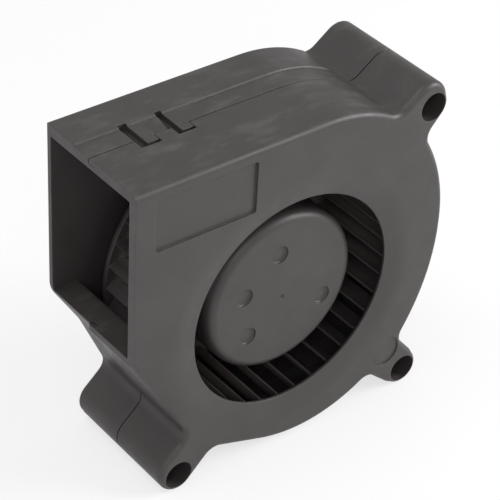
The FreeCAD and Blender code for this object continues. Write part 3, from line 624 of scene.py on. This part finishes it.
def hub_marks(face_z):
    """Cutters for the pockets and the gate mark in the hub's face."""
    marks = [(x, y, POCKET_R, POCKET_DEEP) for x, y in POCKETS] + [(*GATE_AT, GATE_R, GATE_DEEP)]
    builder = bmesh.new()
    for x, y, radius, deep in marks:
        profile = [
            (0, face_z - deep, 0),
            (radius, face_z - deep, deep * MARK_ROUND),
            (radius, face_z + CUT_PAST, 0),
            (0, face_z + CUT_PAST, 0),
        ]
        before = len(builder.verts)
        lathe(builder, rounded(profile), MARK_STEPS)
        builder.verts.ensure_lookup_table()
        shift = row(x, y, 0)
        for vertex in builder.verts[before:]:
            vertex.co += shift
    return made_object("marks", builder)


def make_wheel(material):
    """Wheel of the blower: hub cup with its pockets, base plate, blades and the ring round their tips."""
    front_z = DEPTH - LIP_REAR - BLADE_GAP
    plate_z = WHEEL_REAR_Z + BASE_PLATE
    face_z = DEPTH - HUB_SINK
    wheel = hub_and_plate(face_z, plate_z)
    combine(wheel, blade_ring(plate_z - BASE_PLATE / 2, front_z), "UNION")
    combine(wheel, rim_ring(front_z), "UNION")
    combine(wheel, hub_marks(face_z), "DIFFERENCE")
    soften(wheel)
    stand_in(wheel, "impeller", material, "rotor")


def bellmouth():
    """Cutter for the inlet with its straight slope and the rounding out to the front face."""
    cone_r = INLET_R + BELL_CONE
    bell_r = INLET_R + BELL_WIDE
    slope = BELL_DROP / (BELL_CONE + (BELL_WIDE - BELL_CONE) / 2)
    cone_z = DEPTH - BELL_DROP + BELL_CONE * slope
    behind_z = DEPTH - LIP_REAR - CUT_PAST
    profile = [(0, behind_z), (INLET_R, behind_z), (INLET_R, DEPTH - BELL_DROP), (cone_r, cone_z)]
    for step in range(1, BELL_STEPS + 1):
        share = step / BELL_STEPS
        profile.append((cone_r + (bell_r - cone_r) * share, DEPTH - (DEPTH - cone_z) * (1 - share) ** 2))
    profile += [(bell_r, DEPTH + CUT_PAST), (0, DEPTH + CUT_PAST)]
    builder = bmesh.new()
    lathe(builder, profile)
    return made_object("bell", builder)


def lip_recess():
    """Cutter that thins the inlet's lip from behind."""
    rear_z = DEPTH - COVER_IN - CUT_PAST
    front_z = DEPTH - LIP_REAR
    builder = bmesh.new()
    lathe(builder, [(0, rear_z), (LIP_R, rear_z), (LIP_R, front_z), (0, front_z)])
    return made_object("recess", builder)


def make_cover(material):
    """Front cover with the thin lip and the sloping bellmouth of its inlet."""
    cover = bpy.data.objects.new("inlet_cover", frame["nodes"]["front_cover"].data.copy())
    bpy.context.scene.collection.objects.link(cover)
    builder = bmesh.new()
    builder.from_mesh(cover.data)
    bmesh.ops.remove_doubles(builder, verts=builder.verts, dist=WELD)
    builder.to_mesh(cover.data)
    builder.free()
    combine(cover, bellmouth(), "DIFFERENCE")
    combine(cover, lip_recess(), "DIFFERENCE")
    soften(cover)
    stand_in(cover, "front_cover", material, "housing")


def seen_share(tree, seen, mirrored):
    """A factor for rays that are seen or mirrored, and 0 for the rays that only carry light."""
    path = tree.nodes.new("ShaderNodeLightPath")
    carried = maths(tree, "MAXIMUM", path.outputs["Is Glossy Ray"], path.outputs["Is Transmission Ray"])
    direct = maths(tree, "MULTIPLY", path.outputs["Is Camera Ray"], seen)
    return maths(tree, "ADD", direct, maths(tree, "MULTIPLY", carried, mirrored))


def show_white(tree, plain, white, output, seen, mirrored):
    """Lays white over the plain shader, for seen and mirrored rays only."""
    mix = tree.nodes.new("ShaderNodeMixShader")
    tree.links.new(seen_share(tree, seen, mirrored), mix.inputs["Fac"])
    tree.links.new(plain, mix.inputs[1])
    tree.links.new(white, mix.inputs[2])
    tree.links.new(mix.outputs[0], output.inputs["Surface"])


def make_world():
    """Even light from all round, and a white backdrop."""
    world = bpy.data.worlds.new("studio")
    bpy.context.scene.world = world
    world.use_nodes = True
    tree = world.node_tree
    plain = tree.nodes["Background"]
    plain.inputs["Color"].default_value = WHITE
    plain.inputs["Strength"].default_value = WORLD_LEVEL
    white = tree.nodes.new("ShaderNodeBackground")
    white.inputs["Color"].default_value = WHITE
    white.inputs["Strength"].default_value = 1.0
    show_white(tree, plain.outputs[0], white.outputs[0], tree.nodes["World Output"], 1.0, WORLD_MIRRORED)


def area_light(name, direction, power):
    """Round soft box that looks at the object."""
    lamp = bpy.data.lights.new(name, "AREA")
    lamp.shape = "DISK"
    lamp.size = LAMP_SIZE
    lamp.energy = power
    light = bpy.data.objects.new(name, lamp)
    way = Vector(direction).normalized()
    light.location = way * LAMP_DISTANCE
    light.rotation_euler = way.to_track_quat("Z", "Y").to_euler()
    bpy.context.scene.collection.objects.link(light)


def make_floor():
    """Pale floor under the object, which shows white and keeps the shadow."""
    reach = FLOOR_REACH
    level = CAD_BOX[0][2]
    mesh = bpy.data.meshes.new("floor")
    builder = bmesh.new()
    corners = [(-reach, -reach), (reach, -reach), (reach, reach), (-reach, reach)]
    builder.faces.new([builder.verts.new((x, y, level)) for x, y in corners])
    builder.to_mesh(mesh)
    builder.free()
    floor = bpy.data.objects.new("floor", mesh)
    bpy.context.scene.collection.objects.link(floor)
    material, tree, shader = new_material("floor_white")
    shader.inputs["Base Color"].default_value = FLOOR_COLOUR
    shader.inputs["Roughness"].default_value = 0.9
    shader.inputs["Specular IOR Level"].default_value = 0.1
    white = tree.nodes.new("ShaderNodeEmission")
    white.inputs["Color"].default_value = WHITE
    white.inputs["Strength"].default_value = 1.0
    output = tree.nodes["Material Output"]
    show_white(tree, shader.outputs[0], white.outputs[0], output, FLOOR_WHITE, FLOOR_MIRRORED)
    mesh.materials.append(material)


def make_camera():
    """Camera at the photograph's place, with its frame."""
    camera_data = bpy.data.cameras.new("camera")
    camera_data.sensor_width = SENSOR_MM
    camera_data.lens = FOCAL_PIXELS / FRAME_PIXELS * SENSOR_MM
    camera_data.clip_start = CAMERA_CLIP
    camera = bpy.data.objects.new("camera", camera_data)
    right = Vector(CAMERA_RIGHT).normalized()
    up = Vector(CAMERA_UP).normalized()
    back = right.cross(up)
    turn = Matrix((right, up, back)).transposed().to_4x4()
    camera.matrix_world = Matrix.Translation(Vector(CAMERA_AT)) @ turn
    bpy.context.scene.collection.objects.link(camera)
    bpy.context.scene.camera = camera


bpy.context.scene.view_settings.view_transform = "Standard"
materials = make_materials()
dress_nodes(materials)
make_wheel(materials["wheel_plastic"])
make_cover(materials["black_plastic"])
make_world()
make_floor()
area_light("key_light", KEY_DIRECTION, KEY_POWER)
area_light("fill_light", FILL_DIRECTION, FILL_POWER)
area_light("side_light", SIDE_DIRECTION, SIDE_POWER)
make_camera()
